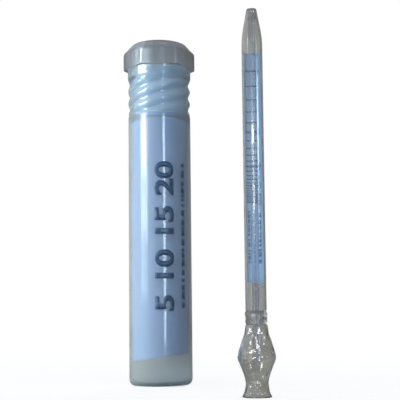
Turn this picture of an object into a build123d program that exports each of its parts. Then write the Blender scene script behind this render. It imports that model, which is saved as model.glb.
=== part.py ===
from build123d import *
import math
import os

# A vinometer and the screw-capped tube it is kept in, standing side by side.
# The storage tube stands on its base at the origin, with its axis along +Z.
# The vinometer stands on its funnel mouth, in front and to the right of the tube.
# All sizes are in millimetres.

# --- storage tube -----------------------------------------------------------
TUBE_R = 12.4
TUBE_WALL = 0.9
FLOOR_THICK = 1.4
BASE_EDGE_R = 2.6
FLOOR_FILLET = 1.0
SHOULDER_Z = 106.4
NECK_R = 10.65
NECK_BORE_R = 10.15
NECK_TOP_Z = 132.6
NECK_LEAD_IN = 0.3
BORE_CONE_TOP_Z = SHOULDER_Z - 0.7
BORE_CONE_HEIGHT = 1.7

# --- four-start right-hand thread, a lobed section twisted as it rises --------
STARTS = 4
THREAD_PITCH = 5.0
LEAD = STARTS * THREAD_PITCH
LOBE = 0.4
SKIRT_R = 12.0
SKIRT_WALL = 0.65
THREAD_PLAY = 0.15
OUTLINE_POINTS_PER_LOBE = 12

# --- screw cap ----------------------------------------------------------------
SKIRT_GAP = 0.2
SKIRT_Z = SHOULDER_Z + SKIRT_GAP
COLLAR_Z = 120.8
COLLAR_R = 12.6
HEAD_Z = 125.6
HEAD_TOP_Z = 135.6
HEAD_SIDES = 6
HEAD_FLATS = 25.4
HEAD_TOP_R = 10.6
HEAD_BEVEL = 3.8
HEAD_TURN = 3.0
CAP_BORE_R = 10.9
CAP_ROOF = 1.3

# --- liner, held in a groove under the roof of the cap ------------------------
LINER_R = 11.15
LINER_THICK = 1.5
LINER_PLAY = 0.08

# --- rolled leaflet, opened out against the wall below the neck ----------------
LEAFLET_Z = 9.6
LEAFLET_TOP_Z = 125.4
LEAFLET_BASE_R = 11.3
LEAFLET_NECK_R = 10.0
LEAFLET_THICK = 0.45

# --- vinometer ------------------------------------------------------------------
VINO_X = 34.0
VINO_Y = -63.0
VINO_TOP_Z = 130.0
GLASS_WALL = 0.8
STEM_R = 3.5
STEM_BORE_R = 3.05
COLLAR_SEAT_Z = 23.6
COLLAR_TOP_Z = 28.2
RING_R = 3.87
RING_EDGE_R = 0.5
TAPER_Z = 120.0
TIP_R = 1.7
CAPILLARY_R = 1.25
CAPILLARY_BORE_R = 0.175
CAPILLARY_Z = 12.0
SEAL_Z = 126.5
SEAL_MID_Z = (SEAL_Z + VINO_TOP_Z) / 2
STRIP_Z = 37.7
STRIP_TOP_Z = 115.3
STRIP_THICK = 0.12
STRIP_CLEAR = 0.05
STRIP_HALF_ANGLE = 88.0

# Outer radius of the funnel at each height, from the mouth up to the ring.
FUNNEL_OUTLINE = [
    (5.2, 0.0),
    (4.5, 1.9),
    (3.83, 4.5),
    (4.35, 7.0),
    (5.5, 10.2),
    (6.43, 13.0),
    (5.6, 16.4),
    (4.45, 20.0),
    (3.66, COLLAR_SEAT_Z),
]
MOUTH_SLOPE = (-0.35, 1.0)
NECK_SLOPE = (-0.12, 1.0)


def ring(r_out, r_in, z_low, z_high):
    """A round wall between two heights."""
    height = z_high - z_low
    wall = Cylinder(r_out, height) - Cylinder(r_in, height)
    return Pos(0, 0, (z_low + z_high) / 2) * wall


def disc(r, z_low, z_high):
    """A solid round disc between two heights."""
    return Pos(0, 0, (z_low + z_high) / 2) * Cylinder(r, z_high - z_low)


def turned(outline):
    """A solid of revolution about Z from (radius, height) corners."""
    section = Plane.XZ * make_face(Polyline(*outline, close=True))
    return revolve(section, Axis.Z)


def lobed_wire(r, z):
    """Closed wavy outline of one thread section, with one lobe for each start."""
    count = STARTS * OUTLINE_POINTS_PER_LOBE
    points = []
    for i in range(count):
        angle = 2 * math.pi * i / count
        radius = r + LOBE * math.cos(STARTS * angle)
        points.append((radius * math.cos(angle), radius * math.sin(angle), z))
    return Wire([Edge.make_spline(points, periodic=True)])


def twisted(r, z_low, z_high):
    """The lobed section swept up Z with the lead of the thread."""
    height = z_high - z_low
    turn = 360 * height / LEAD
    start = 360 * (z_low - SKIRT_Z) / LEAD
    centre = (0, 0, z_low)
    prism = Solid.extrude_linear_with_rotation(lobed_wire(r, z_low), centre, (0, 0, height), turn)
    return Rot(0, 0, start) * prism


def at_vinometer(shape):
    """Moves a shape made about the origin to the place of the vinometer."""
    return Pos(VINO_X, VINO_Y, 0) * shape


def make_case_tube():
    inner_r = TUBE_R - TUBE_WALL
    body = fillet(disc(TUBE_R, 0, SHOULDER_Z).edges().group_by(Axis.Z)[0], BASE_EDGE_R)
    thread = twisted(SKIRT_R - SKIRT_WALL - THREAD_PLAY, SHOULDER_Z, COLLAR_Z - SKIRT_GAP)
    neck = disc(NECK_R, SHOULDER_Z, NECK_TOP_Z)
    neck = chamfer(neck.edges().group_by(Axis.Z)[-1], NECK_LEAD_IN)
    hollow = turned(
        [
            (0, FLOOR_THICK),
            (inner_r - FLOOR_FILLET, FLOOR_THICK),
            (inner_r, FLOOR_THICK + FLOOR_FILLET),
            (inner_r, BORE_CONE_TOP_Z - BORE_CONE_HEIGHT),
            (NECK_BORE_R, BORE_CONE_TOP_Z),
            (NECK_BORE_R, NECK_TOP_Z),
            (0, NECK_TOP_Z),
        ]
    )
    return body + thread + neck - hollow


def make_head():
    """Six-sided head with a round bevel up to its flat top."""
    corner_r = HEAD_FLATS / 2 / math.cos(math.pi / HEAD_SIDES)
    height = HEAD_TOP_Z - HEAD_Z
    hexagon = Rot(0, 0, HEAD_TURN) * RegularPolygon(corner_r, HEAD_SIDES)
    prism = Pos(0, 0, HEAD_Z) * extrude(hexagon, height)
    bevel = turned(
        [
            (0, HEAD_Z),
            (corner_r, HEAD_Z),
            (corner_r, HEAD_TOP_Z - HEAD_BEVEL),
            (HEAD_TOP_R, HEAD_TOP_Z),
            (0, HEAD_TOP_Z),
        ]
    )
    return prism & bevel


def make_screw_cap():
    roof_z = HEAD_TOP_Z - CAP_ROOF
    groove_z = roof_z - LINER_THICK - 2 * LINER_PLAY
    skirt = twisted(SKIRT_R, SKIRT_Z, COLLAR_Z) - twisted(SKIRT_R - SKIRT_WALL, SKIRT_Z, COLLAR_Z)
    cavity = disc(CAP_BORE_R, COLLAR_Z, roof_z) + disc(LINER_R + LINER_PLAY, groove_z, roof_z)
    crown = disc(COLLAR_R, COLLAR_Z, HEAD_Z) + make_head() - cavity
    return skirt + crown


def make_cap_liner():
    top = HEAD_TOP_Z - CAP_ROOF - LINER_PLAY
    return disc(LINER_R, top - LINER_THICK, top)


def make_leaflet_roll():
    neck_z = BORE_CONE_TOP_Z - BORE_CONE_HEIGHT
    outside = [
        (LEAFLET_BASE_R, LEAFLET_Z),
        (LEAFLET_NECK_R, neck_z),
        (LEAFLET_NECK_R, LEAFLET_TOP_Z),
    ]
    inside = [(r - LEAFLET_THICK, z) for r, z in reversed(outside)]
    return turned(outside + inside)


def make_glass_funnel():
    """One blown wall: flared mouth, small neck, bulb and upper neck."""
    outer = FUNNEL_OUTLINE
    inner = [(r - GLASS_WALL, z) for r, z in outer]
    slopes = [MOUTH_SLOPE, NECK_SLOPE]
    outside = Spline(*outer, tangents=slopes)
    inside = Spline(*inner, tangents=slopes)
    rim = Line(outer[0], inner[0])
    seat = Line(outer[-1], inner[-1])
    section = Plane.XZ * make_face([outside, seat, inside, rim])
    return revolve(section, Axis.Z)


def make_fused_collar():
    """Thick ring of melted glass that joins funnel, jacket and capillary."""
    body = disc(RING_R, COLLAR_SEAT_Z, COLLAR_TOP_Z)
    body = fillet(body.edges(), RING_EDGE_R)
    return body - disc(CAPILLARY_R, COLLAR_SEAT_Z, COLLAR_TOP_Z)


def make_glass_jacket():
    """Stem tube, drawn in at the tip until it meets the capillary."""
    return turned(
        [
            (STEM_R, COLLAR_TOP_Z),
            (STEM_R, TAPER_Z),
            (TIP_R, VINO_TOP_Z),
            (CAPILLARY_R, VINO_TOP_Z),
            (CAPILLARY_R, SEAL_MID_Z),
            (TIP_R, SEAL_Z),
            (STEM_BORE_R, TAPER_Z),
            (STEM_BORE_R, COLLAR_TOP_Z),
        ]
    )


def make_tip_seal():
    """Bead of glass that fills the jacket's drawn-in end."""
    return turned(
        [
            (CAPILLARY_R, SEAL_MID_Z),
            (TIP_R, SEAL_Z),
            (CAPILLARY_R, SEAL_Z),
        ]
    )


def make_scale_strip():
    """Paper strip curled against the back of the stem's bore."""
    r_out = STEM_BORE_R - STRIP_CLEAR
    wall = ring(r_out, r_out - STRIP_THICK, STRIP_Z, STRIP_TOP_Z)
    half = math.radians(STRIP_HALF_ANGLE)
    reach = 2 * STEM_R
    wedge = make_face(
        Polyline(
            (0, 0),
            (reach * math.sin(half), reach * math.cos(half)),
            (reach * math.sin(half), reach),
            (-reach * math.sin(half), reach),
            (-reach * math.sin(half), reach * math.cos(half)),
            close=True,
        )
    )
    return wall & (Pos(0, 0, STRIP_Z) * extrude(wedge, STRIP_TOP_Z - STRIP_Z))


NODES = {
    "case_tube": make_case_tube(),
    "screw_cap": make_screw_cap(),
    "cap_liner": make_cap_liner(),
    "leaflet_roll": make_leaflet_roll(),
    "glass_funnel": at_vinometer(make_glass_funnel()),
    "fused_collar": at_vinometer(make_fused_collar()),
    "glass_jacket": at_vinometer(make_glass_jacket()),
    "capillary_tube": at_vinometer(ring(CAPILLARY_R, CAPILLARY_BORE_R, CAPILLARY_Z, VINO_TOP_Z)),
    "tip_seal": at_vinometer(make_tip_seal()),
    "scale_strip": at_vinometer(make_scale_strip()),
}

os.makedirs("parts", exist_ok=True)
for name, shape in NODES.items():
    export_step(shape, f"parts/{name}.step")
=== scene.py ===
import math
import random

import bmesh
import bpy
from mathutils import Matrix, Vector, noise


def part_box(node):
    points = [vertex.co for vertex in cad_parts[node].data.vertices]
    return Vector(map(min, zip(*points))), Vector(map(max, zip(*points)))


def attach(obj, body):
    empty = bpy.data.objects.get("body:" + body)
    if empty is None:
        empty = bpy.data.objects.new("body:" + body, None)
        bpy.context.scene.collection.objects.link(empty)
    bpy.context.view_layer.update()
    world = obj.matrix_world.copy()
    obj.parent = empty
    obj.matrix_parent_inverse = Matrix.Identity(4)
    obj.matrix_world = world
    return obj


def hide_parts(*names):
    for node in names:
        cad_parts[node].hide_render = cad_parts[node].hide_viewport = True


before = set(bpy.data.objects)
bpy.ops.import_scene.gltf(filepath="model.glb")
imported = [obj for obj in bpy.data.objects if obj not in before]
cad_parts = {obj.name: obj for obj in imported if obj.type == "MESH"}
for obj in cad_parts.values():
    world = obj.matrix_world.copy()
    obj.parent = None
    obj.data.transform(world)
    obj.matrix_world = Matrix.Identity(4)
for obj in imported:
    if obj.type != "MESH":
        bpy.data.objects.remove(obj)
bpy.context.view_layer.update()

# A glass vinometer standing on its funnel, beside the screw-capped plastic tube it is kept in.
# Places and outer sizes come from the CAD boxes; wall sizes below repeat the CAD model's, in metres.

MM = 0.001
TURN = 2 * math.pi

tube_low, tube_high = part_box("case_tube")
cap_low, cap_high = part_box("screw_cap")
liner_low, liner_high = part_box("cap_liner")
leaf_low, leaf_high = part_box("leaflet_roll")
collar_low, collar_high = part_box("fused_collar")
jacket_low, jacket_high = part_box("glass_jacket")
hair_low, hair_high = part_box("capillary_tube")
seal_low, seal_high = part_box("tip_seal")
strip_low, strip_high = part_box("scale_strip")


def half_width(low, high):
    return (high.x - low.x) / 2


# --- storage tube and cap ------------------------------------------------------
TUBE_AXIS = (0.0, 0.0)
TUBE_R = half_width(tube_low, tube_high)
TUBE_BORE_R = TUBE_R - 0.9 * MM
TUBE_FLOOR_Z = 1.4 * MM
BASE_EDGE_R = 2.8 * MM
SHOULDER_Z = cap_low.z - 0.2 * MM
NECK_R = 10.65 * MM
NECK_BORE_R = 10.15 * MM
NECK_TAPER_TOP_Z = SHOULDER_Z - 0.7 * MM
NECK_TAPER_Z = NECK_TAPER_TOP_Z - 1.7 * MM
THREAD_STARTS = 4
THREAD_LEAD = 20.0 * MM
THREAD_LOBE = 0.4 * MM
THREAD_TOP_Z = cap_low.z + 14.2 * MM
THREAD_FADE = 1.0 * MM
THREAD_STEP = 0.4 * MM
SKIRT_R = 12.0 * MM
SKIRT_BORE_R = 11.35 * MM
NECK_THREAD_R = 11.2 * MM
NECK_THREAD_TOP_Z = THREAD_TOP_Z - 0.2 * MM
CAP_COLLAR_R = 12.6 * MM
HEAD_SIDES = 6
HEAD_Z = cap_high.z - 10.0 * MM
HEAD_APOTHEM = 12.7 * MM
HEAD_CORNER_R = HEAD_APOTHEM / math.cos(math.pi / HEAD_SIDES)
HEAD_BEVEL_Z = cap_high.z - 3.8 * MM
HEAD_TOP_R = 10.6 * MM
HEAD_MILK_Z = HEAD_Z - 0.6 * MM
HEAD_MILK_TOP_Z = HEAD_Z + 0.2 * MM
HEAD_TURN = math.radians(3.0)
HEAD_SHARP = 30
CAP_BORE_R = 10.9 * MM
CAP_GROOVE_R = 11.23 * MM
CAP_ROOF_Z = cap_high.z - 1.3 * MM
CAP_GROOVE_Z = CAP_ROOF_Z - 1.66 * MM
LEAFLET_TURNS = 2.6
LEAFLET_START = math.radians(25)
LEAFLET_LAYER = 0.15 * MM
LEAFLET_SLIP = 3.0 * MM
LEAFLET_THICK = 0.1 * MM
LEAFLET_RIPPLE = 0.03 * MM

# --- vinometer ---------------------------------------------------------------
GLASS_AXIS = ((jacket_low.x + jacket_high.x) / 2, (jacket_low.y + jacket_high.y) / 2)
GLASS_WALL = 0.8 * MM
GLASS_SHARP = 60
STEM_R = half_width(jacket_low, jacket_high)
STEM_BORE_R = 3.05 * MM
STEM_TAPER_Z = 120.0 * MM
TIP_R = 1.7 * MM
SEAL_Z = seal_low.z
RING_R = half_width(collar_low, collar_high)
HAIR_R = half_width(hair_low, hair_high)
HAIR_BORE_R = 0.175 * MM

# Outer radius of the funnel at each height, from the mouth up to the ring.
FUNNEL_OUTLINE = [
    (5.2 * MM, 0.0),
    (4.5 * MM, 1.9 * MM),
    (3.83 * MM, 4.5 * MM),
    (4.35 * MM, 7.0 * MM),
    (5.5 * MM, 10.2 * MM),
    (6.43 * MM, 13.0 * MM),
    (5.6 * MM, 16.4 * MM),
    (4.45 * MM, 20.0 * MM),
    (3.66 * MM, collar_low.z),
]
BLOWN_SET_IN = 0.08 * MM
BLOWN_UNEVEN = 0.14 * MM
MELTED_SET_IN = 0.16 * MM
MELTED_UNEVEN = 0.22 * MM

# Soft dents in the funnel's glass, in rows staggered around it.
DENTS_PER_ROW = 6
DENT_STAGGER = 0.4
DENT_Z = 1.7 * MM
DENT_STEP = 6.2 * MM
DENT_R = 0.95 * MM
DENT_DEPTH = 0.34 * MM

# --- paper scale in the stem, and its print ------------------------------------
STRIP_R = half_width(strip_low, strip_high)
STRIP_THICK = 0.12 * MM
STRIP_HALF_ANGLE = math.radians(88)
STRIP_RIPPLE = 0.02 * MM
INK_THICK = 0.012 * MM
PRINT_R = STRIP_R - STRIP_THICK - INK_THICK
SCALE_TOP_Z = 109.1 * MM
SCALE_FIRST_STEP = 5.2 * MM
SCALE_SHRINK = 0.89
SCALE_MAX = 25
SCALE_MAJOR = 5
MARK_LEFT = 1.9 * MM
MARK_REACH = 1.0 * MM
MAJOR_REACH = 1.3 * MM
MARK_THICK = 0.5 * MM
MAJOR_THICK = 0.65 * MM
NUMBER_PLACE = 2.3 * MM
NUMBER_WIDTH = 0.85 * MM
NUMBER_HEIGHT = 1.9 * MM
NUMBER_BOLD = 0.03 * MM
CROWDED_FROM = 8

# Small print stands in lines of bars. Each line has its place across and its half width, and
# the bars and the gaps between them have lengths in millimetres, drawn at random.
STRIP_LINES = ((-2.0 * MM, 0.5 * MM), (2.0 * MM, 0.75 * MM))
STRIP_LINES_Z = 44.0 * MM
STRIP_LINES_TOP_Z = 61.0 * MM
STRIP_BARS = (0.6, 1.6)
STRIP_GAPS = (0.35, 0.35, 0.9)

# --- print on the front of the storage tube --------------------------------------
FACE_ANGLE = math.radians(-90)
TUBE_INK_R = TUBE_R + 0.012 * MM
TUBE_INK_THICK = 0.02 * MM
FIGURES = "5 10 15 20"
FIGURES_ACROSS = 2.2 * MM
FIGURES_Z = 57.8 * MM
FIGURES_LENGTH = 58.0 * MM
FIGURES_HEIGHT = 7.6 * MM
FIGURES_BOLD = 0.25 * MM
TUBE_LINE = (10.4 * MM, 0.8 * MM)
TUBE_LINE_Z = 30.0 * MM
TUBE_LINE_TOP_Z = 85.0 * MM
TUBE_BARS = (0.8, 3.4)
TUBE_GAPS = (0.5, 0.5, 1.3)

# --- materials, light, floor and camera ------------------------------------------
GLASS_IOR = 1.48
GLASS_PASSES = (0.9, 0.92, 0.92)
PLASTIC_IOR = 1.46
PLASTIC_PASSES = (0.84, 0.9, 0.94)
WHITE = (1.0, 1.0, 1.0)
PALE = (0.95, 1.0, 0.93)
COOL = (0.86, 0.95, 1.0)
BLUE = (0.62, 0.82, 1.0)
VIOLET = (0.86, 0.9, 1.0)
WARM = (1.0, 1.0, 0.8)
SPARK_SIZE = 65 * MM
SPARK_LOWS = (50 * MM, 300 * MM)
SPARK_AZIMUTHS = (-70, -20, 30)
SPARK_SHIFT = 25
CAMERA_HEIGHT = 25.5 * MM
CAMERA_BACK = 380 * MM
CAMERA_ASIDE = 15.5 * MM
CAMERA_PITCH = math.radians(5.44)
CAMERA_ROLL = math.radians(0.6)
LENS_LENGTH = 86.3
LENS_SENSOR = 36
LENS_SHIFT = 0.07
LENS_NEAREST = 10 * MM
FLOOR_REACH = 6000 * MM
FLOOR_DROP = 0.05 * MM


# --- outlines ------------------------------------------------------------------
def rounded(corners, closed=False, steps=5):
    """Rounds each (radius, height, fillet) corner of an outline by its own fillet."""
    count = len(corners)
    points = []
    for i, (r, z, fillet) in enumerate(corners):
        here = Vector((r, z))
        at_end = not closed and i in (0, count - 1)
        if fillet == 0 or at_end:
            points.append((r, z))
            continue
        before = Vector(corners[i - 1][:2]) - here
        after = Vector(corners[(i + 1) % count][:2]) - here
        start = here + before.normalized() * min(fillet, before.length / 2)
        end = here + after.normalized() * min(fillet, after.length / 2)
        for k in range(steps + 1):
            t = k / steps
            point = start * (1 - t) ** 2 + here * 2 * t * (1 - t) + end * t**2
            points.append((point.x, point.y))
    return points


def dense(points, low, high, step):
    """Adds points to the stretches of an outline between two heights."""
    made = []
    for (r0, z0), (r1, z1) in zip(points, points[1:]):
        made.append((r0, z0))
        inside = min(z0, z1) >= low - MM and max(z0, z1) <= high + MM
        if inside:
            count = int(abs(z1 - z0) / step)
            for k in range(1, count):
                t = k / count
                made.append((r0 + (r1 - r0) * t, z0 + (z1 - z0) * t))
    made.append(points[-1])
    return made


def flowing(points, per_span=8):
    """A smooth curve through outline points, by Catmull-Rom spans."""
    path = [Vector(p) for p in points]
    path = [2 * path[0] - path[1]] + path + [2 * path[-1] - path[-2]]
    made = []
    for a, b, c, d in zip(path, path[1:], path[2:], path[3:]):
        for k in range(per_span):
            t = k / per_span
            point = (
                b * 2
                + (c - a) * t
                + (a * 2 - b * 5 + c * 4 - d) * t**2
                + (b * 3 - a - c * 3 + d) * t**3
            ) / 2
            made.append((point.x, point.y))
    made.append(tuple(path[-2]))
    return made


def smooth_step(low, high, value):
    t = min(max((value - low) / (high - low), 0.0), 1.0)
    return t * t * (3 - 2 * t)


# --- meshes ------------------------------------------------------------------
def finish_mesh(name, bm, sharp_degrees=35):
    """Makes an object of the mesh, smooth apart from edges sharper than the angle."""
    bmesh.ops.recalc_face_normals(bm, faces=bm.faces)
    mesh = bpy.data.meshes.new(name)
    bm.to_mesh(mesh)
    bm.free()
    mesh.shade_smooth()
    mesh.set_sharp_from_angle(angle=math.radians(sharp_degrees))
    piece = bpy.data.objects.new(name, mesh)
    bpy.context.scene.collection.objects.link(piece)
    return piece


def give_thickness(piece, thick):
    """Thickens a sheet by the same amount on both its sides."""
    layer = piece.modifiers.new("thickness", "SOLIDIFY")
    layer.thickness = thick
    layer.offset = 0
    layer.use_even_offset = True


def add_sheet(bm, lines):
    """Joins lines of points, all of one length, into a sheet of four-sided faces."""
    lines = [[bm.verts.new(point) for point in line] for line in lines]
    for a, b in zip(lines, lines[1:]):
        for k in range(len(a) - 1):
            bm.faces.new((a[k], b[k], b[k + 1], a[k + 1]))


def even_angles(count):
    return [TURN * i / count for i in range(count)]


def turned(name, outline, axis, angles, bend=None, sharp_degrees=35):
    """A closed turned body, whose radius may be changed at each place by bend(angle, r, z).

    Points at radius 0 are poles, and two poles in a row part two skins.
    """
    bm = bmesh.new()
    rows = []
    for r, z in outline:
        if r == 0:
            rows.append([bm.verts.new((axis[0], axis[1], z))])
            continue
        row = []
        for angle in angles:
            radius = bend(angle, r, z) if bend else r
            x = axis[0] + radius * math.cos(angle)
            y = axis[1] + radius * math.sin(angle)
            row.append(bm.verts.new((x, y, z)))
        rows.append(row)
    for below, above in zip(rows, rows[1:] + rows[:1]):
        if len(below) == 1 and len(above) == 1:
            continue
        for i in range(len(angles)):
            j = (i + 1) % len(angles)
            corners = [below[i % len(below)], below[j % len(below)]]
            corners += [above[j % len(above)], above[i % len(above)]]
            bm.faces.new(list(dict.fromkeys(corners)))
    return finish_mesh(name, bm, sharp_degrees)


def thread_lobe(angle, z, top):
    """How far the four-start thread stands out at a place on the skirt or neck."""
    phase = angle - TURN * (z - cap_low.z) / THREAD_LEAD
    rise = smooth_step(cap_low.z, cap_low.z + THREAD_FADE, z)
    fall = 1 - smooth_step(top - THREAD_FADE, top, z)
    return THREAD_LOBE * math.cos(THREAD_STARTS * phase) * rise * fall


def hexagon_radius(angle, sharpness=36):
    """Radius of the six-sided head at an angle, with its corners a little rounded."""
    total = 0.0
    for side in range(HEAD_SIDES):
        facing = math.cos(angle - HEAD_TURN - TURN * (side + 0.5) / HEAD_SIDES)
        total += max(facing, 0.0) ** sharpness
    return HEAD_APOTHEM * total ** (-1 / sharpness)


def head_angles(per_side=36):
    """Angles round the cap that crowd together at the corners of its head."""
    angles = []
    for i in range(HEAD_SIDES * per_side):
        side, place = divmod(i, per_side)
        share = math.sin(math.pi * (place / per_side - 0.5)) / 2
        angles.append(HEAD_TURN + TURN * (side + 0.5 + share) / HEAD_SIDES)
    return angles


def cap_bend(angle, r, z):
    """Gives the skirt its thread, and the head its six sides."""
    if z < THREAD_TOP_Z and r > CAP_BORE_R:
        return r + thread_lobe(angle, z, THREAD_TOP_Z)
    if r <= CAP_COLLAR_R:
        return r
    softness = 60
    return (hexagon_radius(angle) ** -softness + r**-softness) ** (-1 / softness)


def neck_bend(angle, r, z):
    """Gives the tube's neck its thread."""
    on_thread = SHOULDER_Z < z < NECK_THREAD_TOP_Z and r > NECK_R
    return r + thread_lobe(angle, z, NECK_THREAD_TOP_Z) if on_thread else r


def make_case_tube():
    outline = rounded(
        [
            (0, 0, 0),
            (TUBE_R, 0, BASE_EDGE_R),
            (TUBE_R, SHOULDER_Z, 0.25 * MM),
            (NECK_THREAD_R, SHOULDER_Z, 0.2 * MM),
            (NECK_THREAD_R, NECK_THREAD_TOP_Z, 0.3 * MM),
            (NECK_R, NECK_THREAD_TOP_Z, 0.2 * MM),
            (NECK_R, tube_high.z, 0.3 * MM),
            (NECK_BORE_R, tube_high.z, 0.15 * MM),
            (NECK_BORE_R, NECK_TAPER_TOP_Z, 1.0 * MM),
            (TUBE_BORE_R, NECK_TAPER_Z, 1.0 * MM),
            (TUBE_BORE_R, TUBE_FLOOR_Z, 2.0 * MM),
            (0, TUBE_FLOOR_Z, 0),
        ]
    )
    outline = dense(outline, 0, SHOULDER_Z, 2 * MM)
    outline = dense(outline, SHOULDER_Z, NECK_THREAD_TOP_Z, THREAD_STEP)
    return turned("case_tube_moulding", outline, TUBE_AXIS, even_angles(144), neck_bend)


def make_screw_cap():
    outline = rounded(
        [
            (SKIRT_R, cap_low.z, 0.2 * MM),
            (SKIRT_R, THREAD_TOP_Z - 0.3 * MM, 0.6 * MM),
            (CAP_COLLAR_R, THREAD_TOP_Z + 0.9 * MM, 0.6 * MM),
            (CAP_COLLAR_R, HEAD_Z, 0.3 * MM),
            (HEAD_CORNER_R, HEAD_Z, 0.35 * MM),
            (HEAD_CORNER_R, HEAD_BEVEL_Z, 0.9 * MM),
            (HEAD_TOP_R, cap_high.z, 0.9 * MM),
            (0, cap_high.z, 0),
        ]
    )
    inside = rounded(
        [
            (0, CAP_ROOF_Z, 0),
            (CAP_GROOVE_R, CAP_ROOF_Z, 0.2 * MM),
            (CAP_GROOVE_R, CAP_GROOVE_Z, 0.15 * MM),
            (CAP_BORE_R, CAP_GROOVE_Z, 0.15 * MM),
            (CAP_BORE_R, THREAD_TOP_Z, 0.1 * MM),
            (SKIRT_BORE_R, THREAD_TOP_Z, 0.1 * MM),
            (SKIRT_BORE_R, cap_low.z, 0.15 * MM),
        ]
    )
    outline = dense(outline, cap_low.z, THREAD_TOP_Z, THREAD_STEP)
    inside = dense(inside, cap_low.z, THREAD_TOP_Z, THREAD_STEP)
    outline += inside
    return turned("screw_cap_moulding", outline, TUBE_AXIS, head_angles(), cap_bend, HEAD_SHARP)


def make_cap_liner():
    r = half_width(liner_low, liner_high)
    seat_r = NECK_R + 0.15 * MM
    outline = rounded(
        [
            (0, liner_low.z, 0),
            (NECK_BORE_R - 0.2 * MM, liner_low.z, 0.2 * MM),
            (NECK_BORE_R, liner_low.z + 0.06 * MM, 0.1 * MM),
            (seat_r, liner_low.z + 0.06 * MM, 0.1 * MM),
            (seat_r + 0.15 * MM, liner_low.z, 0.1 * MM),
            (r, liner_low.z, 0.3 * MM),
            (r, liner_high.z, 0.3 * MM),
            (0, liner_high.z, 0),
        ]
    )
    return turned("cap_liner_disc", outline, TUBE_AXIS, even_angles(96))


def make_leaflet():
    """A rolled sheet that springs out against the wall and is drawn in at the neck."""
    columns = 170
    rows = 170
    wall_r = half_width(leaf_low, leaf_high) - LEAFLET_THICK
    neck_r = NECK_BORE_R - 0.2 * MM
    height = leaf_high.z - leaf_low.z - LEAFLET_SLIP
    lines = []
    for i in range(columns + 1):
        wound = LEAFLET_TURNS * i / columns
        angle = TURN * wound + LEAFLET_START
        skew = LEAFLET_SLIP * (1 + math.cos(angle)) / 2
        line = []
        for k in range(rows + 1):
            z = leaf_low.z + skew + height * k / rows
            drawn_in = smooth_step(NECK_TAPER_Z - 0.4 * MM, NECK_TAPER_TOP_Z, z)
            r = wall_r + (neck_r - wall_r) * drawn_in - LEAFLET_LAYER * wound
            r += LEAFLET_RIPPLE * noise.noise(Vector((angle, z / (9 * MM), 3.0)))
            line.append((r * math.cos(angle), r * math.sin(angle), z))
        lines.append(line)
    bm = bmesh.new()
    add_sheet(bm, lines)
    piece = finish_mesh("leaflet_sheet", bm)
    give_thickness(piece, LEAFLET_THICK)
    return piece


def noise_around(angle, height, spread):
    """A smooth random value that closes on itself around an axis."""
    return noise.noise(Vector((spread * math.cos(angle), spread * math.sin(angle), height)))


def bulb_radius(z):
    """Radius of the funnel's outline at a height."""
    for (r0, z0), (r1, z1) in zip(FUNNEL_OUTLINE, FUNNEL_OUTLINE[1:]):
        if z <= z1:
            return r0 + (r1 - r0) * (z - z0) / (z1 - z0)
    return FUNNEL_OUTLINE[-1][0]


def dent_depth(angle, r, z):
    """Depth of the soft dents at a place on the funnel."""
    row = round((z - DENT_Z) / DENT_STEP)
    around = angle / TURN * DENTS_PER_ROW + DENT_STAGGER * row
    across = (around - round(around)) * TURN * r / DENTS_PER_ROW
    along = z - DENT_Z - row * DENT_STEP
    return DENT_DEPTH * math.exp(-(across**2 + along**2) / (2 * DENT_R**2))


def blown(angle, r, z):
    """The unevenness of glass shaped by hand in a flame, not the same inside and outside."""
    wall = bulb_radius(z) - r
    uneven = BLOWN_UNEVEN * noise_around(angle, z / (5 * MM) + 9 * wall / MM, 1.5)
    return r - BLOWN_SET_IN + uneven - dent_depth(angle, r, z)


def make_glass_funnel():
    outer = flowing(FUNNEL_OUTLINE)
    inner = [(r - GLASS_WALL, z) for r, z in outer]
    rim = 0.25 * MM
    outer[0] = (outer[0][0] - rim, 0.0)
    inner[0] = (inner[0][0] + rim, 0.0)
    outline = outer + inner[::-1]
    return turned("glass_funnel_bulb", outline, GLASS_AXIS, even_angles(120), blown, GLASS_SHARP)


def melted(angle, r, z):
    """Soft lumps on the outside of the glass seal."""
    if r < HAIR_R + MM:
        return r
    return r - MELTED_SET_IN + MELTED_UNEVEN * noise_around(angle, z / (2.2 * MM), 1.3)


def make_fused_collar():
    gap = 0.02 * MM
    low = collar_low.z + gap
    high = collar_high.z - gap
    waist = RING_R - 0.12 * MM
    outline = rounded(
        [
            (HAIR_R + gap, low, 0),
            (RING_R - 0.35 * MM, low, 0.3 * MM),
            (RING_R, low + 1.1 * MM, 0.8 * MM),
            (waist, (low + high) / 2, 0.8 * MM),
            (RING_R, high - 1.0 * MM, 0.8 * MM),
            (STEM_R - 0.05 * MM, high, 0.3 * MM),
            (HAIR_R + gap, high, 0),
        ],
        closed=True,
        steps=7,
    )
    return turned("fused_collar_glass", outline, GLASS_AXIS, even_angles(96), melted, GLASS_SHARP)


def make_glass_jacket():
    middle = (SEAL_Z + jacket_high.z) / 2
    outline = rounded(
        [
            (STEM_R, collar_high.z, 0.1 * MM),
            (STEM_R, STEM_TAPER_Z, 3.0 * MM),
            (TIP_R, jacket_high.z, 0.15 * MM),
            (HAIR_R + 0.02 * MM, jacket_high.z, 0.05 * MM),
            (HAIR_R + 0.02 * MM, middle, 0.1 * MM),
            (TIP_R, SEAL_Z, 0.5 * MM),
            (STEM_BORE_R, STEM_TAPER_Z, 2.5 * MM),
            (STEM_BORE_R, collar_high.z, 0.1 * MM),
        ],
        closed=True,
        steps=8,
    )
    return turned("glass_jacket_tube", outline, GLASS_AXIS, even_angles(96), sharp_degrees=GLASS_SHARP)


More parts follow.
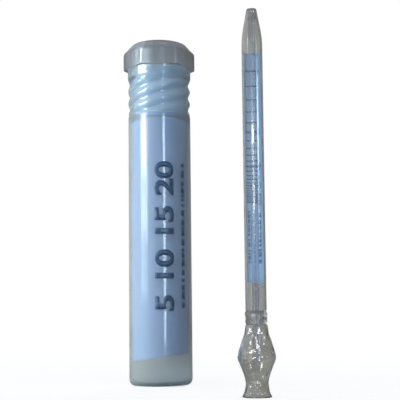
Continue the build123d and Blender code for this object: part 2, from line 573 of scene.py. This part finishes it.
def make_capillary():
    end = 0.15 * MM
    outline = rounded(
        [
            (HAIR_R, hair_low.z, end),
            (HAIR_R, hair_high.z, end),
            (HAIR_BORE_R, hair_high.z, 0.05 * MM),
            (HAIR_BORE_R, hair_low.z, 0.05 * MM),
        ],
        closed=True,
    )
    return turned("capillary_glass_tube", outline, GLASS_AXIS, even_angles(64), sharp_degrees=GLASS_SHARP)


def make_tip_seal():
    gap = 0.03 * MM
    outline = rounded(
        [
            (HAIR_R + gap, seal_high.z - 0.2 * MM, 0.05 * MM),
            (HAIR_R + gap, seal_low.z, 0.05 * MM),
            (TIP_R - 0.05 * MM, seal_low.z + 0.1 * MM, 0.1 * MM),
        ],
        closed=True,
    )
    return turned("tip_seal_bead", outline, GLASS_AXIS, even_angles(64), sharp_degrees=GLASS_SHARP)


# --- prints, and the curled paper scale ------------------------------------------
def add_bar(bm, place, left, right, low, high, columns=4):
    """A flat printed bar, wrapped on the surface that place(across, up) describes."""
    lines = []
    for i in range(columns + 1):
        across = left + (right - left) * i / columns
        lines.append([place(across, low), place(across, high)])
    add_sheet(bm, lines)


def add_small_print(bm, place, draw, line, low, high, bars, gaps):
    """A line of small print that runs upwards, as bars of random lengths."""
    across, half = line
    z = low
    while z < high:
        length = draw.uniform(*bars) * MM
        add_bar(bm, place, across - half, across + half, z, z + length)
        z += length + draw.choice(gaps) * MM


def flat_figures(words, height, bold):
    """Figures as flat triangles, with edges short enough to wrap round a curve."""
    data = bpy.data.curves.new("figures", "FONT")
    data.body = words
    data.size = height
    data.offset = bold
    data.resolution_u = 6
    carrier = bpy.data.objects.new("figures", data)
    bpy.context.scene.collection.objects.link(carrier)
    depsgraph = bpy.context.evaluated_depsgraph_get()
    flat = bpy.data.meshes.new_from_object(carrier.evaluated_get(depsgraph))
    bpy.data.objects.remove(carrier)
    bpy.data.curves.remove(data)
    shape = bmesh.new()
    shape.from_mesh(flat)
    bpy.data.meshes.remove(flat)
    longest = height / 6
    for _ in range(4):
        long_edges = [e for e in shape.edges if e.calc_length() > longest]
        if not long_edges:
            break
        bmesh.ops.subdivide_edges(shape, edges=long_edges, cuts=1)
        bmesh.ops.triangulate(shape, faces=shape.faces)
    return shape


def add_text(bm, words, length, height, place, bold, turned_up=False):
    """Printed figures that fill a length and a height, wrapped by place(across, up)."""
    shape = flat_figures(words, height, bold)
    xs = [v.co.x for v in shape.verts]
    ys = [v.co.y for v in shape.verts]
    middle_x = (min(xs) + max(xs)) / 2
    middle_y = (min(ys) + max(ys)) / 2
    stretch_x = length / (max(xs) - min(xs))
    stretch_y = height / (max(ys) - min(ys))
    made = {}
    for vert in shape.verts:
        along = (vert.co.x - middle_x) * stretch_x
        up = (vert.co.y - middle_y) * stretch_y
        made[vert.index] = bm.verts.new(place(-up, along) if turned_up else place(along, up))
    for face in shape.faces:
        bm.faces.new([made[v.index] for v in face.verts])
    shape.free()


def on_strip(across, z, r=PRINT_R):
    """A place on the strip's face, given as a distance round it from its middle."""
    angle = across / r
    return (GLASS_AXIS[0] + r * math.sin(angle), GLASS_AXIS[1] + r * math.cos(angle), z)


def make_scale_strip():
    columns = 40
    rows = 80
    reach = STRIP_R * STRIP_HALF_ANGLE
    r = STRIP_R - STRIP_THICK / 2
    lines = []
    for i in range(columns + 1):
        across = reach * (2 * i / columns - 1)
        line = []
        for k in range(rows + 1):
            z = strip_low.z + (strip_high.z - strip_low.z) * k / rows
            ripple = STRIP_RIPPLE * noise.noise(Vector((across / MM, z / (7 * MM), 8.0)))
            line.append(on_strip(across, z, r - abs(ripple)))
        lines.append(line)
    bm = bmesh.new()
    add_sheet(bm, lines)
    piece = finish_mesh("scale_strip_paper", bm)
    give_thickness(piece, STRIP_THICK * 0.8)
    return piece


def scale_height(percent):
    """Height of a mark: the steps get shorter as the strength rises."""
    return SCALE_TOP_Z - SCALE_FIRST_STEP * (1 - SCALE_SHRINK**percent) / (1 - SCALE_SHRINK)


def add_scale_number(bm, percent, z):
    figures = str(percent)
    width = NUMBER_WIDTH * len(figures)

    def place(across, up):
        return on_strip(NUMBER_PLACE + across, z + up)

    add_text(bm, figures, width, NUMBER_HEIGHT, place, NUMBER_BOLD)


def make_scale_print():
    """Marks that crowd together and get thinner downwards, with small print under them."""
    bm = bmesh.new()
    for percent in range(SCALE_MAX + 1):
        z = scale_height(percent)
        major = percent % SCALE_MAJOR == 0
        reach = MAJOR_REACH if major else MARK_REACH
        crowded = smooth_step(CROWDED_FROM, SCALE_MAX, percent)
        thick = (MAJOR_THICK if major else MARK_THICK) * (1 - 0.5 * crowded)
        add_bar(bm, on_strip, -reach - MARK_LEFT, reach, z - thick / 2, z + thick / 2, 16)
        if major:
            add_scale_number(bm, percent, z)
    draw = random.Random(4)
    span = (STRIP_LINES_Z, STRIP_LINES_TOP_Z)
    for line in STRIP_LINES:
        add_small_print(bm, on_strip, draw, line, *span, STRIP_BARS, STRIP_GAPS)
    piece = finish_mesh("scale_print", bm)
    give_thickness(piece, INK_THICK)
    return piece


def on_tube(across, z):
    """A place on the front of the tube, given as a distance round it from its middle."""
    angle = FACE_ANGLE + across / TUBE_INK_R
    return (TUBE_INK_R * math.cos(angle), TUBE_INK_R * math.sin(angle), z)


def on_tube_figures(across, up):
    """A place among the tube's large figures, from their middle."""
    return on_tube(FIGURES_ACROSS + across, FIGURES_Z + up)


def make_tube_print():
    """Large figures that run up the tube, beside a line of small print."""
    bm = bmesh.new()
    draw = random.Random(11)
    size = (FIGURES_LENGTH, FIGURES_HEIGHT)
    add_text(bm, FIGURES, *size, on_tube_figures, FIGURES_BOLD, turned_up=True)
    span = (TUBE_LINE_Z, TUBE_LINE_TOP_Z)
    add_small_print(bm, on_tube, draw, TUBE_LINE, *span, TUBE_BARS, TUBE_GAPS)
    piece = finish_mesh("tube_print", bm)
    give_thickness(piece, TUBE_INK_THICK)
    return piece


# --- materials -------------------------------------------------------------------
def start_material(name):
    material = bpy.data.materials.new(name)
    material.use_nodes = True
    material.node_tree.nodes.clear()
    return material, material.node_tree


def node(tree, kind, inputs=None, **settings):
    """Adds a node. Each input is a socket to link to, or a value to set."""
    made = tree.nodes.new(kind)
    for key, value in settings.items():
        setattr(made, key, value)
    for key, value in (inputs or {}).items():
        if isinstance(value, bpy.types.NodeSocket):
            tree.links.new(value, made.inputs[key])
        else:
            made.inputs[key].default_value = value
    return made


def stretched_place(tree, stretch):
    """The piece's own coordinates, multiplied along each axis."""
    place = node(tree, "ShaderNodeTexCoord").outputs["Object"]
    return node(tree, "ShaderNodeMapping", {"Vector": place, "Scale": stretch}).outputs["Vector"]


def noise_pattern(tree, stretch, detail, roughness=0.5):
    inputs = {"Vector": stretched_place(tree, stretch), "Scale": 1.0}
    inputs |= {"Detail": detail, "Roughness": roughness}
    return node(tree, "ShaderNodeTexNoise", inputs).outputs["Fac"]


def ramp(tree, value, low, high, from_value, to_value):
    """Maps low..high of a value to from_value..to_value, and holds it beyond them."""
    inputs = {"Value": value, "From Min": low, "From Max": high}
    inputs |= {"To Min": from_value, "To Max": to_value}
    return node(tree, "ShaderNodeMapRange", inputs).outputs["Result"]


def bumped(tree, height, strength, distance):
    inputs = {"Height": height, "Strength": strength, "Distance": distance}
    return node(tree, "ShaderNodeBump", inputs).outputs["Normal"]


def mix_colours(tree, share, first, second):
    inputs = {"Factor": share, "A": (*first, 1), "B": (*second, 1)}
    return node(tree, "ShaderNodeMix", inputs, data_type="RGBA").outputs["Result"]


def mix_shaders(tree, share, first, second):
    return node(tree, "ShaderNodeMixShader", {0: share, 1: first, 2: second}).outputs[0]


def principled(tree, inputs):
    return node(tree, "ShaderNodeBsdfPrincipled", inputs).outputs[0]


def give_surface(tree, surface):
    node(tree, "ShaderNodeOutputMaterial", {"Surface": surface})


def give_clear_body(tree, surface, passed, depth_colour, density):
    """A surface that lets lamps' rays pass, tinted, over a body that tints with its depth."""
    rays = node(tree, "ShaderNodeLightPath").outputs["Is Shadow Ray"]
    clear = node(tree, "ShaderNodeBsdfTransparent", {"Color": (*passed, 1)}).outputs[0]
    depth = {"Color": (*depth_colour, 1), "Density": density}
    volume = node(tree, "ShaderNodeVolumeAbsorption", depth).outputs[0]
    mixed = mix_shaders(tree, rays, surface, clear)
    node(tree, "ShaderNodeOutputMaterial", {"Surface": mixed, "Volume": volume})


def glass_material(name, tint, depth_colour, density, wave, coat):
    """Glass with faint drawn-out streaks as strong as wave, and smudges on its surface.

    The coat is a second, slightly rough gloss, which spreads the lamps' highlights.
    """
    material, tree = start_material(name)
    streaks = noise_pattern(tree, (900, 900, 60), 2.0)
    smudges = noise_pattern(tree, (220, 220, 90), 4.0)
    glass = principled(
        tree,
        {
            "Base Color": (*tint, 1),
            "Transmission Weight": 1.0,
            "IOR": GLASS_IOR,
            "Roughness": ramp(tree, smudges, 0.5, 0.75, 0.0, 0.07),
            "Coat Weight": coat,
            "Coat Roughness": 0.13,
            "Coat IOR": 1.8,
            "Normal": bumped(tree, streaks, wave, 0.01 * MM),
        },
    )
    give_clear_body(tree, glass, GLASS_PASSES, depth_colour, density)
    return material


def plastic_material(name, tint, milk, head_milk, haze, head_haze, depth_colour, density):
    """Clear moulded plastic: slightly milky, with fine handling scratches and rubbed edges.

    The cap's head is thicker, so its milkiness changes to head_milk and head_haze there.
    """
    material, tree = start_material(name)
    flow = noise_pattern(tree, (260, 260, 45), 3.0)
    scratches = noise_pattern(tree, (500, 500, 2600), 6.0, 0.7)
    normal = bumped(tree, flow, 0.12, 0.03 * MM)
    clear = principled(
        tree,
        {
            "Base Color": (*tint, 1),
            "Transmission Weight": 1.0,
            "IOR": PLASTIC_IOR,
            "Roughness": ramp(tree, scratches, 0.35, 0.8, 0.05, 0.15),
            "Normal": normal,
        },
    )
    place = node(tree, "ShaderNodeTexCoord").outputs["Object"]
    height = node(tree, "ShaderNodeSeparateXYZ", {0: place}).outputs["Z"]
    in_head = ramp(tree, height, HEAD_MILK_Z, HEAD_MILK_TOP_Z, 0.0, 1.0)
    milky = principled(
        tree,
        {
            "Base Color": mix_colours(tree, in_head, milk, head_milk),
            "Roughness": 0.35,
            "IOR": PLASTIC_IOR,
            "Normal": normal,
        },
    )
    edges = node(tree, "ShaderNodeNewGeometry").outputs["Pointiness"]
    worn = ramp(tree, edges, 0.53, 0.62, 0.0, 0.2)
    haze_here = ramp(tree, height, HEAD_MILK_Z, HEAD_MILK_TOP_Z, haze, head_haze)
    clouds = ramp(tree, flow, 0.3, 0.7, 0.88, 1.12)
    cloudy = node(tree, "ShaderNodeMath", {0: haze_here, 1: clouds}, operation="MULTIPLY")
    sums = {0: worn, 1: cloudy.outputs[0]}
    amount = node(tree, "ShaderNodeMath", sums, operation="ADD", use_clamp=True).outputs[0]
    body = mix_shaders(tree, amount, clear, milky)
    give_clear_body(tree, body, PLASTIC_PASSES, depth_colour, density)
    return material


def paper_material(name, colour, shade, fibre):
    """Uncoated paper with soft blotches, and fine fibres that stand up as far as fibre says."""
    material, tree = start_material(name)
    fibres = noise_pattern(tree, (3000, 3000, 1800), 5.0, 0.65)
    blotches = noise_pattern(tree, (120, 120, 60), 3.0)
    both = node(tree, "ShaderNodeMath", {0: fibres, 1: blotches}, operation="MULTIPLY")
    amount = ramp(tree, both.outputs[0], 0.1, 0.45, 0.0, 1.0)
    paper = principled(
        tree,
        {
            "Base Color": mix_colours(tree, amount, shade, colour),
            "Roughness": 0.8,
            "Normal": bumped(tree, fibres, 0.3 * fibre, 0.03 * MM),
        },
    )
    give_surface(tree, paper)
    return material


def ink_material(name, colour, faded):
    """Printing ink, a little worn and uneven."""
    material, tree = start_material(name)
    wear = noise_pattern(tree, (1100, 1100, 1100), 5.0)
    fading = ramp(tree, wear, 0.48, 0.7, 0.0, 0.7)
    ink = principled(
        tree,
        {
            "Base Color": mix_colours(tree, fading, colour, faded),
            "Roughness": ramp(tree, wear, 0.3, 0.7, 0.2, 0.4),
        },
    )
    give_surface(tree, ink)
    return material


def foam_material(name, colour, shade):
    """Closed-cell foam with small open bubbles at its face; the bubbles' hollows are painted darker, as
    painted shade.
    """
    material, tree = start_material(name)
    inputs = {"Vector": stretched_place(tree, (4200, 4200, 4200)), "Scale": 1.0}
    cells = node(tree, "ShaderNodeTexVoronoi", inputs).outputs["Distance"]
    # Painted shade: near the bubbles' middles, where the bump sinks into pits, the colour turns to the
    # darker shade colour.
    rise = ramp(tree, cells, 0.1, 0.6, 0.0, 1.0)
    foam = principled(
        tree,
        {
            "Base Color": mix_colours(tree, rise, shade, colour),
            "Roughness": 0.75,
            "Normal": bumped(tree, rise, 0.5, 0.05 * MM),
        },
    )
    give_surface(tree, foam)
    return material


def floor_material():
    """Pale paint that fades into the white behind it, and gives the object a dimmer reflection."""
    material, tree = start_material("floor_paint")
    seen = node(tree, "ShaderNodeLightPath").outputs["Is Camera Ray"]
    pale = node(tree, "ShaderNodeBsdfDiffuse", {"Color": (0.55, 0.55, 0.55, 1)}).outputs[0]
    glow = node(tree, "ShaderNodeEmission", {"Color": (1, 1, 1, 1), "Strength": 0.72}).outputs[0]
    near = node(tree, "ShaderNodeAddShader", {0: pale, 1: glow}).outputs[0]
    far = node(tree, "ShaderNodeEmission", {"Color": (1, 1, 1, 1), "Strength": 1.0}).outputs[0]
    place = node(tree, "ShaderNodeTexCoord").outputs["Object"]
    away = node(tree, "ShaderNodeVectorMath", {0: place}, operation="LENGTH").outputs["Value"]
    bright = mix_shaders(tree, ramp(tree, away, 0.12, 0.6, 0.0, 1.0), near, far)
    dim = node(tree, "ShaderNodeBsdfDiffuse", {"Color": (0.5, 0.49, 0.45, 1)}).outputs[0]
    give_surface(tree, mix_shaders(tree, seen, dim, bright))
    return material


TUBE_PLASTIC = plastic_material(
    "tube_plastic",
    tint=(0.93, 0.96, 0.98),
    milk=(0.76, 0.83, 0.84),
    head_milk=(0.76, 0.83, 0.84),
    haze=0.25,
    head_haze=0.25,
    depth_colour=(0.64, 0.7, 0.76),
    density=160,
)
CAP_PLASTIC = plastic_material(
    "cap_plastic",
    tint=(0.88, 0.92, 0.94),
    milk=(0.54, 0.66, 0.74),
    head_milk=(0.44, 0.44, 0.47),
    haze=0.22,
    head_haze=0.48,
    depth_colour=(0.55, 0.62, 0.66),
    density=160,
)
GLASS = glass_material(
    "clear_glass",
    tint=(0.97, 0.97, 0.95),
    depth_colour=(0.66, 0.66, 0.56),
    density=110,
    wave=0.15,
    coat=1.0,
)
CAPILLARY_GLASS = glass_material(
    "capillary_glass",
    tint=(0.93, 0.95, 1.0),
    depth_colour=(0.5, 0.56, 0.8),
    density=175,
    wave=0.0,
    coat=0.0,
)
LEAFLET_PAPER = paper_material("leaflet_paper", (0.28, 0.46, 0.77), (0.23, 0.4, 0.71), 1.0)
SCALE_PAPER = paper_material("scale_paper", (0.36, 0.53, 0.76), (0.3, 0.46, 0.7), 0.5)
# The liner's second colour is painted shade in the hollows of the foam's bubbles.
LINER_FOAM = foam_material("liner_foam", (0.42, 0.45, 0.47), (0.25, 0.27, 0.29))
TUBE_INK = ink_material("tube_ink", (0.055, 0.14, 0.3), (0.09, 0.2, 0.38))
SCALE_INK = ink_material("scale_ink", (0.05, 0.12, 0.3), (0.09, 0.18, 0.38))


# --- pieces on their bodies ----------------------------------------------------
def stand_for(piece, material, body, node_name=None):
    """Gives a piece its material and its body, and hides the CAD node it stands for."""
    piece.data.materials.append(material)
    if node_name:
        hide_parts(node_name)
    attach(piece, body)
    return piece


tube = stand_for(make_case_tube(), TUBE_PLASTIC, "case", "case_tube")
leaflet = stand_for(make_leaflet(), LEAFLET_PAPER, "case", "leaflet_roll")
tube_print = stand_for(make_tube_print(), TUBE_INK, "case")
liner = stand_for(make_cap_liner(), LINER_FOAM, "liner", "cap_liner")
cap = stand_for(make_screw_cap(), CAP_PLASTIC, "cap", "screw_cap")
funnel = stand_for(make_glass_funnel(), GLASS, "vinometer", "glass_funnel")
ring = stand_for(make_fused_collar(), GLASS, "vinometer", "fused_collar")
jacket = stand_for(make_glass_jacket(), GLASS, "vinometer", "glass_jacket")
stand_for(make_capillary(), CAPILLARY_GLASS, "vinometer", "capillary_tube")
stand_for(make_tip_seal(), GLASS, "vinometer", "tip_seal")
scale_strip = stand_for(make_scale_strip(), SCALE_PAPER, "vinometer", "scale_strip")
scale_print = stand_for(make_scale_print(), SCALE_INK, "vinometer")


# --- floor, light and camera -------------------------------------------------------
def make_floor():
    bm = bmesh.new()
    low, high = -FLOOR_REACH, FLOOR_REACH
    corners = [(low, low), (high, low), (high, high), (low, high)]
    bm.faces.new([bm.verts.new((x, y, -FLOOR_DROP)) for x, y in corners])
    floor = finish_mesh("floor", bm)
    floor.data.materials.append(floor_material())


def make_world():
    """White behind the object; the glass picks up a dimmer room, brighter on the left."""
    world = bpy.data.worlds.new("studio")
    world.use_nodes = True
    bpy.context.scene.world = world
    tree = world.node_tree
    tree.nodes.clear()
    direction = node(tree, "ShaderNodeTexCoord").outputs["Generated"]
    parts = node(tree, "ShaderNodeSeparateXYZ", {0: direction})
    sideways = ramp(tree, parts.outputs["X"], -0.9, 0.9, 0.0, 1.0)
    room = mix_colours(tree, sideways, (0.43, 0.46, 0.48), (0.2, 0.19, 0.18))
    seen = node(tree, "ShaderNodeLightPath").outputs["Is Camera Ray"]
    dim = node(tree, "ShaderNodeBackground", {"Color": room, "Strength": 1.0}).outputs[0]
    white = {"Color": (1, 1, 1, 1), "Strength": 1.0}
    bright = node(tree, "ShaderNodeBackground", white).outputs[0]
    node(tree, "ShaderNodeOutputWorld", {"Surface": mix_shaders(tree, seen, dim, bright)})


def aim(holder, target):
    """Turns a lamp towards a point."""
    holder.rotation_euler = (target - holder.location).to_track_quat("-Z", "Y").to_euler()


def add_lamp(name, lit, colour, radiance, azimuth, away, low, high, width):
    """A soft upright rectangle that faces the tube, and lights only some pieces, or all.

    Its azimuth is in degrees round the tube's axis, from the front towards the right. Its
    distance from the axis, lower and upper edges and width are in metres.
    """
    lamp = bpy.data.lights.new(name, "AREA")
    lamp.shape = "RECTANGLE"
    lamp.size = width
    lamp.size_y = high - low
    lamp.energy = radiance * math.pi * lamp.size * lamp.size_y
    lamp.color = colour
    holder = bpy.data.objects.new(name, lamp)
    angle = math.radians(azimuth)
    holder.location = (math.sin(angle) * away, -math.cos(angle) * away, (low + high) / 2)
    aim(holder, Vector((0, 0, holder.location.z)))
    holder.visible_camera = False
    holder.visible_glossy = False
    holder.visible_transmission = False
    bpy.context.scene.collection.objects.link(holder)
    if lit:
        group = bpy.data.collections.new(name + "_receivers")
        for piece in lit:
            group.objects.link(piece)
        holder.light_linking.receiver_collection = group
    return holder


def add_glint(name, lit, colour, radiance, **placing):
    """A lamp that shows only as a highlight."""
    holder = add_lamp(name, lit, colour, radiance, **placing)
    holder.visible_diffuse = False
    holder.visible_glossy = True
    holder.visible_transmission = True


def make_keys():
    """Lamps that light the paper, the print and the milky plastic."""
    case = [tube, leaflet, tube_print]
    scale = [scale_strip, scale_print]
    closure = [cap, liner]
    add_lamp("key_case", case, PALE, 2.8, azimuth=-80, away=0.6, low=0.0, high=0.5, width=0.4)
    add_lamp("key_low", case, PALE, 8.0, azimuth=-76, away=0.2, low=0.0, high=0.07, width=0.1)
    add_lamp("key_cap", closure, COOL, 4.6, azimuth=-88, away=0.6, low=0.0, high=0.5, width=0.4)
    add_lamp("key_glass", scale, COOL, 3.0, azimuth=-50, away=0.6, low=0.0, high=0.5, width=0.4)
    add_lamp("low_glass", scale, PALE, 36.0, azimuth=-5, away=0.2, low=0.004, high=0.03, width=0.1)


def make_fills():
    """Weak light from the right of the cap, from above and from behind."""
    add_lamp("fill_cap", [cap], WHITE, 2.0, azimuth=34, away=0.6, low=0.1, high=0.4, width=0.4)
    overhead = add_lamp(
        "fill_overhead", None, VIOLET, 0.8, azimuth=10, away=0.4, low=0.65, high=1.55, width=0.9
    )
    aim(overhead, Vector((0, 0, 0)))
    add_lamp("fill_back", None, WHITE, 1.3, azimuth=168, away=0.7, low=0.0, high=0.5, width=0.5)


def make_case_glints():
    """A tall window at the left, in four parts, and a strip at the right."""
    shell = [tube, tube_print, cap]
    window = {"azimuth": -58, "away": 0.7}
    add_glint("window_high", shell, COOL, 22.0, **window, low=0.19, high=0.42, width=0.2)
    add_glint("window_wide", shell, COOL, 7.0, **window, low=0.17, high=0.38, width=0.4)
    add_glint("window_low", shell, COOL, 8.0, **window, low=0.12, high=0.19, width=0.34)
    add_glint("window_sill", shell, COOL, 3.0, **window, low=0.05, high=0.12, width=0.34)
    add_glint("cap_window", [cap], COOL, 18.0, azimuth=-66, away=0.7, low=0.2, high=0.45, width=0.36)
    add_glint("strip", shell, BLUE, 15.0, azimuth=18, away=0.8, low=0.0, high=0.34, width=0.11)


def make_glass_glints():
    """Streaks on the stem and ring, and two rows of small sparks for the dents in the funnel."""
    add_glint("glass_window", [jacket], WARM, 11.0, azimuth=-6, away=0.7, low=0.19, high=0.212, width=0.3)
    add_glint("ring_window", [ring], VIOLET, 2.0, azimuth=-30, away=0.6, low=0.03, high=0.3, width=0.5)
    add_glint("glass_strip", [jacket], BLUE, 6.0, azimuth=50, away=0.8, low=0.18, high=0.3, width=0.16)
    for row, low in enumerate(SPARK_LOWS):
        for first in SPARK_AZIMUTHS:
            azimuth = first + SPARK_SHIFT * row
            spark = {"low": low, "high": low + SPARK_SIZE, "width": SPARK_SIZE}
            name = f"spark_{row}_{azimuth}"
            add_glint(name, [funnel], WHITE, 10.0, azimuth=azimuth, away=0.5, **spark)


def make_camera():
    lens = bpy.data.cameras.new("view")
    lens.lens = LENS_LENGTH
    lens.sensor_width = LENS_SENSOR
    lens.shift_y = LENS_SHIFT
    lens.clip_start = LENS_NEAREST
    camera = bpy.data.objects.new("view", lens)
    camera.location = (TUBE_AXIS[0] + CAMERA_ASIDE, TUBE_AXIS[1] - CAMERA_BACK, CAMERA_HEIGHT)
    camera.rotation_mode = "XYZ"
    camera.rotation_euler = (math.radians(90) + CAMERA_PITCH, CAMERA_ROLL, 0)
    bpy.context.scene.collection.objects.link(camera)
    bpy.context.scene.camera = camera


make_floor()
make_world()
make_keys()
make_fills()
make_case_glints()
make_glass_glints()
make_camera()
bpy.context.scene.view_settings.view_transform = "Standard"
